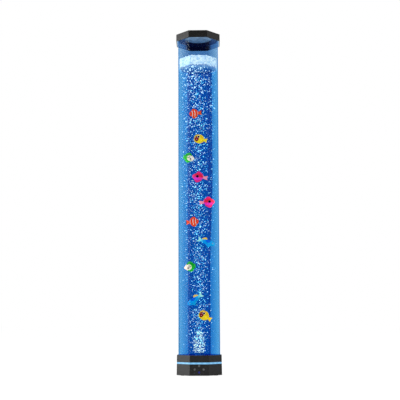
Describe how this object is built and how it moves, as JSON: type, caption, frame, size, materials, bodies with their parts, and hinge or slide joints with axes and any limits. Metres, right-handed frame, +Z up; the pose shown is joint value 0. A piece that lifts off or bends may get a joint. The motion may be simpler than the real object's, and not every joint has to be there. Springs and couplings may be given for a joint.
{
  "type": "bubble tube floor lamp",
  "caption": "Eight-sided clear water tube with floating toy fish, on a lit black base with push buttons and an air pump inside, under a lift-off black cap.",
  "frame": {"origin": "middle of the footprint, on the floor under the rubber feet", "axes": "+Z up along the tube, -Y out of the front face with the buttons, +X to the right as seen from the front"},
  "size_m": [0.1556, 0.1556, 1.2],
  "materials": {
    "foot_rubber": "matt black rubber",
    "base_plastic": "fine satin black moulding",
    "cap_plastic": "fine satin black moulding",
    "screw_steel": "zinc plated",
    "glow_plastic": "milky light guide, lit blue",
    "board_white": "white coated circuit board",
    "seal_rubber": "soft black rubber",
    "clear_acrylic": "clear polished acrylic",
    "fitting_plastic": "translucent white nylon",
    "air_stone_grit": "porous sintered grit",
    "light_chip": "small surface light",
    "liner_plastic": "pale reflector disc",
    "plug_plastic": "dark moulding",
    "board_green": "green circuit board",
    "black_plastic": "black moulding",
    "window_blue": "dark blue window",
    "button_plastic": "grey satin button",
    "pump_plastic": "ivory moulding",
    "core_steel": "stacked iron sheets",
    "coil_copper": "enamelled copper winding",
    "arm_plastic": "nylon",
    "magnet_steel": "ferrite",
    "hose_clear": "clear silicone hose",
    "lead_red": "insulated lead",
    "lead_yellow": "insulated lead",
    "lead_blue": "insulated lead",
    "fish_orange": "orange with white bands",
    "fish_yellow": "yellow with a red face patch",
    "fish_green": "green back and white belly",
    "fish_pink": "rose red with a pale tail",
    "fish_blue": "bright blue with a yellow fin"
  },
  "bodies": {
    "root": {"feet": "foot_rubber", "bottom_cover": "base_plastic", "cover_screws": "screw_steel", "base_shell_lower": "base_plastic", "light_ring": "glow_plastic", "ring_light_strip": "board_white", "base_shell_upper": "base_plastic", "tube_seal": "seal_rubber", "tube": "clear_acrylic", "tank_floor": "clear_acrylic", "nozzle_washer": "seal_rubber", "air_nozzle": "fitting_plastic", "nozzle_nut": "fitting_plastic", "air_stone": "air_stone_grit", "tank_light_board": "board_white", "tank_lights": "light_chip", "board_screws": "screw_steel", "control_board": "board_green", "switch_bodies": "black_plastic", "board_parts": "black_plastic", "remote_receiver": "black_plastic", "sensor_window": "window_blue", "power_jack": "black_plastic", "jack_pin": "screw_steel", "jack_nut": "screw_steel", "pump_case": "pump_plastic", "pump_lid": "pump_plastic", "pump_feet": "foot_rubber", "pump_core": "core_steel", "pump_coil": "coil_copper", "arm_pin": "screw_steel", "bellows": "seal_rubber", "valve_block": "black_plastic", "check_valve": "fitting_plastic", "hose_from_pump": "hose_clear", "hose_to_tank": "hose_clear", "lead_power": "lead_red", "lead_pump": "lead_yellow", "lead_lights": "lead_blue"},
    "lid": {"cap_shell": "cap_plastic", "cap_liner": "liner_plastic", "cap_plug": "plug_plastic", "cap_seal": "seal_rubber", "cap_screws": "screw_steel"},
    "button_top": {"button_top": "button_plastic"},
    "button_left": {"button_left": "button_plastic"},
    "button_right": {"button_right": "button_plastic"},
    "pump_arm": {"pump_arm": "arm_plastic", "arm_magnet": "magnet_steel"},
    "fish_banded_upper": {"fish_banded_upper": "fish_orange"},
    "fish_banded_lower": {"fish_banded_lower": "fish_orange"},
    "fish_round_upper": {"fish_round_upper": "fish_yellow"},
    "fish_round_lower": {"fish_round_lower": "fish_yellow"},
    "fish_pale_upper": {"fish_pale_upper": "fish_green"},
    "fish_pale_lower": {"fish_pale_lower": "fish_green"},
    "fish_rosy_upper": {"fish_rosy_upper": "fish_pink"},
    "fish_rosy_lower": {"fish_rosy_lower": "fish_pink"},
    "fish_slender_upper": {"fish_slender_upper": "fish_blue"},
    "fish_slender_lower": {"fish_slender_lower": "fish_blue"}
  },
  "joints": [
    {"name": "lid_lift", "type": "slide", "parent": "root", "child": "lid", "axis": [0, 0, 1], "range_m": [0, 0.06]},
    {"name": "button_top_press", "type": "slide", "parent": "root", "child": "button_top", "axis": [0, 1, 0], "range_m": [0, 0.0008], "stiffness_N_per_m": 500, "springref_m": -0.0008},
    {"name": "button_left_press", "type": "slide", "parent": "root", "child": "button_left", "axis": [0, 1, 0], "range_m": [0, 0.0008], "stiffness_N_per_m": 500, "springref_m": -0.0008},
    {"name": "button_right_press", "type": "slide", "parent": "root", "child": "button_right", "axis": [0, 1, 0], "range_m": [0, 0.0008], "stiffness_N_per_m": 500, "springref_m": -0.0008},
    {"name": "arm_swing", "type": "hinge", "parent": "root", "child": "pump_arm", "pos_m": [0.03, 0.02703, 0.0215], "axis": [0, 1, 0], "range_deg": [-2, 2], "stiffness_Nm_per_rad": 2, "deforming": ["bellows"]},
    {"name": "fish_banded_upper_drift", "type": "slide", "parent": "root", "child": "fish_banded_upper", "axis": [0, 0, 1], "range_m": [-0.09, 0.13]},
    {"name": "fish_banded_lower_drift", "type": "slide", "parent": "root", "child": "fish_banded_lower", "axis": [0, 0, 1], "range_m": [-0.13, 0.13]},
    {"name": "fish_round_upper_drift", "type": "slide", "parent": "root", "child": "fish_round_upper", "axis": [0, 0, 1], "range_m": [-0.11, 0.18]},
    {"name": "fish_round_lower_drift", "type": "slide", "parent": "root", "child": "fish_round_lower", "axis": [0, 0, 1], "range_m": [-0.07, 0.15]},
    {"name": "fish_pale_upper_drift", "type": "slide", "parent": "root", "child": "fish_pale_upper", "axis": [0, 0, 1], "range_m": [-0.15, 0.2]},
    {"name": "fish_pale_lower_drift", "type": "slide", "parent": "root", "child": "fish_pale_lower", "axis": [0, 0, 1], "range_m": [-0.035, 0.18]},
    {"name": "fish_rosy_upper_drift", "type": "slide", "parent": "root", "child": "fish_rosy_upper", "axis": [0, 0, 1], "range_m": [-0.16, 0.08]},
    {"name": "fish_rosy_lower_drift", "type": "slide", "parent": "root", "child": "fish_rosy_lower", "axis": [0, 0, 1], "range_m": [-0.045, 0.22]},
    {"name": "fish_slender_upper_drift", "type": "slide", "parent": "root", "child": "fish_slender_upper", "axis": [0, 0, 1], "range_m": [-0.1, 0.045]},
    {"name": "fish_slender_lower_drift", "type": "slide", "parent": "root", "child": "fish_slender_lower", "axis": [0, 0, 1], "range_m": [-0.11, 0.03]}
  ]
}
